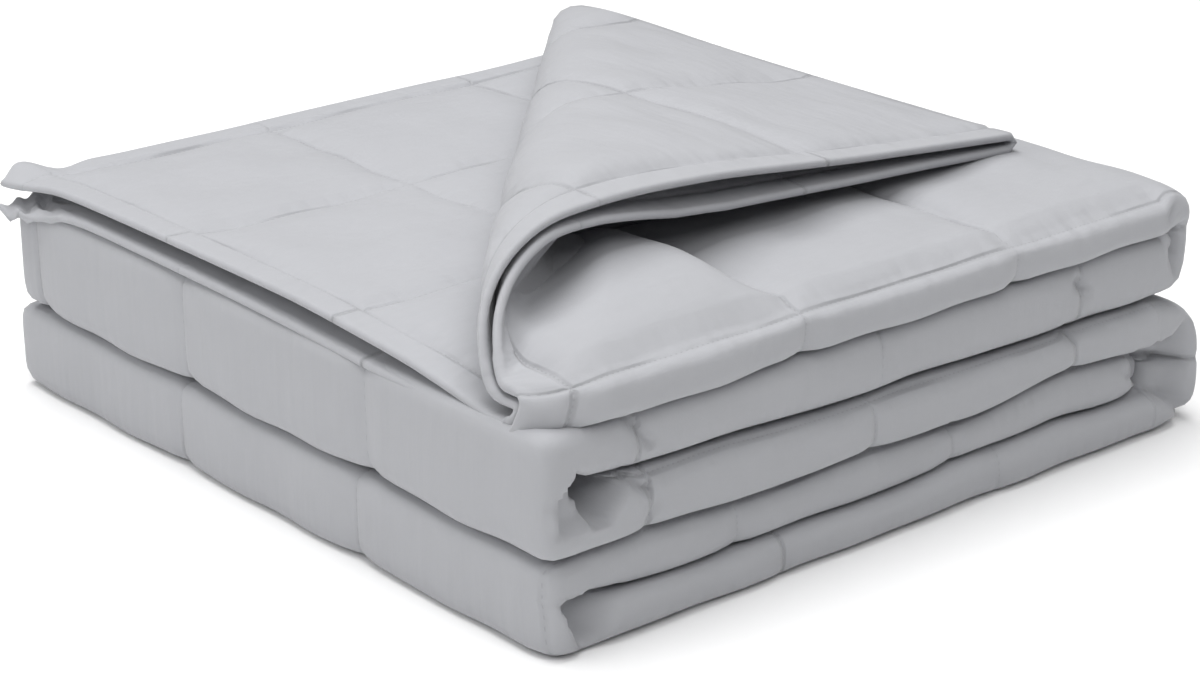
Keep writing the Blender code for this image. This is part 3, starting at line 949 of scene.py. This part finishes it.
def cloth_material():
    """Brushed cloth, placed by the cloth's own lengths and by the distance from its seams, with painted shade
    in the seam grooves and the gaps between stitches.
    """
    material = bpy.data.materials.new("brushed_cloth")
    shader = Shader(material)
    cloth = shader.attribute("cloth")
    place = shader.split(cloth)
    seams = shader.split(shader.attribute("seams"))
    brushed = shader.join(shader.math("MULTIPLY", place[0], BRUSHED_STRETCH), place[1])
    wrinkled = shader.join(shader.math("MULTIPLY", place[0], WRINKLE_STRETCH), place[1], WRINKLE_SLICE)
    reliefs = [(grain, shader.noise(vector, grain)) for grain, vector in (
        (MOTTLE, cloth), (FIBRE, cloth), (BRUSHED, brushed), (WRINKLE, wrinkled),
    )]
    reliefs.append((PUCKER, seam_puckers(shader, place, seams)))
    shade = height = 0.0
    for grain, relief in reliefs:
        height = shader.math("MULTIPLY_ADD", relief, grain.rise, height)
        if grain.tint:
            shade = shader.math("MULTIPLY_ADD", relief, grain.tint, shade)
    stitch_gaps = stitch_gaps_dipped_and_shaded(shader, place, seams)
    drawn_in = seam_groove_and_painted_shade(shader, cloth, seams)
    height = shader.math("MULTIPLY_ADD", stitch_gaps, -STITCH_DIP, height)
    height = shader.math("MULTIPLY_ADD", drawn_in, -GROOVE, height)
    # Painted shade: the seam grooves and stitch gaps are darkened towards the seam shade colour.
    painted_seam_shade = shader.math("MULTIPLY_ADD", stitch_gaps, STITCH_GAP_PAINTED_SHADE, shader.math("MULTIPLY", drawn_in, GROOVE_PAINTED_SHADE))
    colour = shader.mix(painted_seam_shade, shader.mix(shade, CLOTH_COLOUR, CLOTH_SHADE), PAINTED_SEAM_SHADE)
    shader.put(shader.surface.inputs["Base Color"], colour)
    shader.put(shader.surface.inputs["Normal"], shader.bump(height))
    for name, amount in CLOTH_FINISH.items():
        shader.put(shader.surface.inputs[name], amount)
    return material


FLOOR_REACH = 6.0
FLOOR_COLOUR = (0.98, 0.98, 0.98, 1.0)
FLOOR_ROUGHNESS = 0.9


def make_floor():
    mesh = bpy.data.meshes.new("floor")
    corners = [(FLOOR_REACH * x, FLOOR_REACH * y, 0.0) for x, y in ((-1, -1), (1, -1), (1, 1), (-1, 1))]
    mesh.from_pydata(corners, [], [(0, 1, 2, 3)])
    floor = bpy.data.objects.new("floor", mesh)
    bpy.context.scene.collection.objects.link(floor)
    material = bpy.data.materials.new("pale_floor")
    material.use_nodes = True
    surface = material.node_tree.nodes["Principled BSDF"]
    surface.inputs["Base Color"].default_value = FLOOR_COLOUR
    surface.inputs["Roughness"].default_value = FLOOR_ROUGHNESS
    mesh.materials.append(material)


# Soft lamps all round, facing the middle of the stack.
Lamp = namedtuple("Lamp", "name place size power")
LAMPS = (
    Lamp("overhead", (0.0, 0.3, 2.0), 2.0, 47.5),
    Lamp("left side", (-1.9, 0.35, 1.25), 1.5, 14.6),
    Lamp("front", (-0.4, -1.6, 2.0), 1.5, 21.5),
)
LIT_PLACE = (0.0, 0.0, 0.05)
WORLD_COLOUR = (1.0, 1.0, 1.0, 1.0)
WORLD_STRENGTH = 0.14


def make_light():
    world = bpy.data.worlds.new("studio")
    world.use_nodes = True
    background = world.node_tree.nodes["Background"]
    background.inputs["Color"].default_value = WORLD_COLOUR
    background.inputs["Strength"].default_value = WORLD_STRENGTH
    bpy.context.scene.world = world
    for lamp in LAMPS:
        data = bpy.data.lights.new(lamp.name, "AREA")
        data.energy = lamp.power
        data.size = lamp.size
        light = bpy.data.objects.new(lamp.name, data)
        light.location = lamp.place
        facing = Vector(LIT_PLACE) - Vector(lamp.place)
        light.rotation_euler = facing.to_track_quat("-Z", "Y").to_euler()
        bpy.context.scene.collection.objects.link(light)
    bpy.context.scene.view_settings.view_transform = "Standard"


# The photograph's viewing angle: the camera's heading from Y towards X and its dip under the level, in
# radians, and its focal length and the photograph's width in pixels.
CAMERA_PLACE = (-0.81578, -0.95657, 0.50942)
CAMERA_HEADING = 0.70895
CAMERA_DIP = 0.36392
CAMERA_FOCAL = 2978.6
FRAME_WIDTH = 1200
SENSOR_MM = 36.0


def make_camera():
    data = bpy.data.cameras.new("camera")
    data.sensor_width = SENSOR_MM
    data.lens = CAMERA_FOCAL / FRAME_WIDTH * SENSOR_MM
    camera = bpy.data.objects.new("camera", data)
    camera.location = CAMERA_PLACE
    camera.rotation_euler = (math.pi / 2 - CAMERA_DIP, 0.0, -CAMERA_HEADING)
    bpy.context.scene.collection.objects.link(camera)
    bpy.context.scene.camera = camera


def main():
    make_camera()
    blanket = make_blanket()
    blanket.data.materials.append(cloth_material())
    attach(blanket, "root")
    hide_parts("blanket")
    make_floor()
    make_light()


main()
